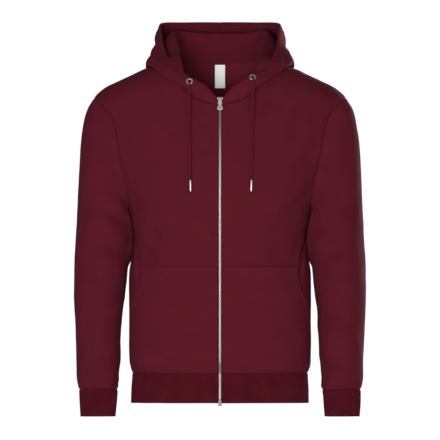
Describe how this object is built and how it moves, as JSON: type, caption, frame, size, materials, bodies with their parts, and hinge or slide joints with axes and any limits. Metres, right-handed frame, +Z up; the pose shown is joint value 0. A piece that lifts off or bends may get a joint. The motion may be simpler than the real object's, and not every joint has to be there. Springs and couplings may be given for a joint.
{
  "type": "zip up hoodie",
  "caption": "Long-sleeved zip-front hooded sweatshirt, filled out as worn, with pouch pockets, ribbed cuffs and waistband, drawcord ends and a hinged zip pull.",
  "frame": {"origin": "middle of the neck hole at the height where the garment hangs from the shoulders", "axes": "+Z up, -Y out of the front with the zip, +X towards the wearer's left sleeve"},
  "size_m": [0.6136, 0.3073, 0.8283],
  "materials": {
    "fleece": "brushed-back sweatshirt knit, matt burgundy",
    "rib": "one by one rib knit, matt burgundy",
    "tape": "woven tape, burgundy",
    "label": "bare white woven label",
    "zip_metal": "silver zip metal",
    "eyelet_metal": "bright nickel",
    "cord": "braided burgundy cord",
    "tip_metal": "silver metal tips"
  },
  "bodies": {
    "garment": {"front_right": "fleece", "front_left": "fleece", "back": "fleece", "sleeve_right": "fleece", "sleeve_left": "fleece", "hood_right": "fleece", "hood_left": "fleece", "pocket_right": "fleece", "pocket_left": "fleece", "cuff_right": "rib", "cuff_left": "rib", "waistband": "rib", "neck_tape": "tape", "zip_tape_right": "tape", "zip_tape_left": "tape", "neck_label": "label", "zip_chain": "zip_metal", "zip_slider": "zip_metal", "zip_box": "zip_metal", "eyelet_right": "eyelet_metal", "eyelet_left": "eyelet_metal", "cord_right": "cord", "cord_left": "cord", "cord_tip_right": "tip_metal", "cord_tip_left": "tip_metal"},
    "pull_tab": {"zip_pull": "zip_metal"}
  },
  "joints": [
    {"name": "pull_hinge", "type": "hinge", "parent": "garment", "child": "pull_tab", "pos_m": [0, -0.1063, -0.06207], "axis": [-1, 0, 0], "range_deg": [0, 150]}
  ]
}
